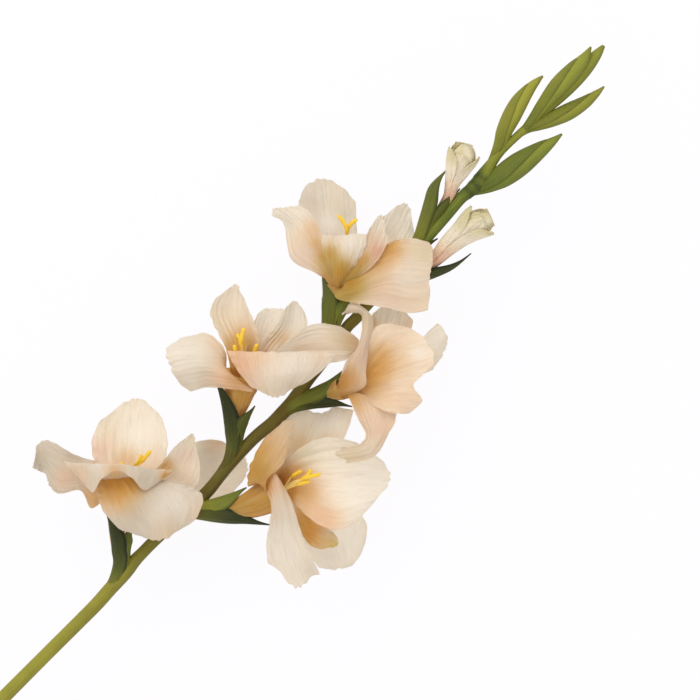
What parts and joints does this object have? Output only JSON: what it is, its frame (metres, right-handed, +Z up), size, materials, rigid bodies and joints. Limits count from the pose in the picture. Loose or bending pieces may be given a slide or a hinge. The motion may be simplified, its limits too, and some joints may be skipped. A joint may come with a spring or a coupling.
{
  "type": "cut gladiolus",
  "caption": "Cut gladiolus spike lying on its side: leafy stem with open wavy-petalled blooms, opening buds and closed green buds towards the tip.",
  "frame": {"origin": "centre of the bounding box, at its bottom: on the surface that the spike lies on", "axes": "+X along the stem from its cut end to its tip, +Z up from the surface that it lies on, +Y to the left of the stem seen from above"},
  "size_m": [0.5874, 0.1586, 0.0741],
  "materials": {
    "stem_green": "satin fresh plant skin, finely ribbed along its length, olive to dark green",
    "petal_cream": "soft translucent petal, cream to peach with a yellow throat and fine veins",
    "stamen_yellow": "matte pollen yellow",
    "petal_bud": "soft petal, cream, pink and yellow-green, furled"
  },
  "bodies": {
    "root": {"stem": "stem_green", "bloom_1": "petal_cream", "bloom_2": "petal_cream", "bloom_3": "petal_cream", "bloom_4": "petal_cream", "bloom_5": "petal_cream", "stamens_1": "stamen_yellow", "stamens_2": "stamen_yellow", "stamens_3": "stamen_yellow", "stamens_4": "stamen_yellow", "stamens_5": "stamen_yellow", "opening_bud_a": "petal_bud", "opening_bud_b": "petal_bud"}
  },
  "joints": []
}
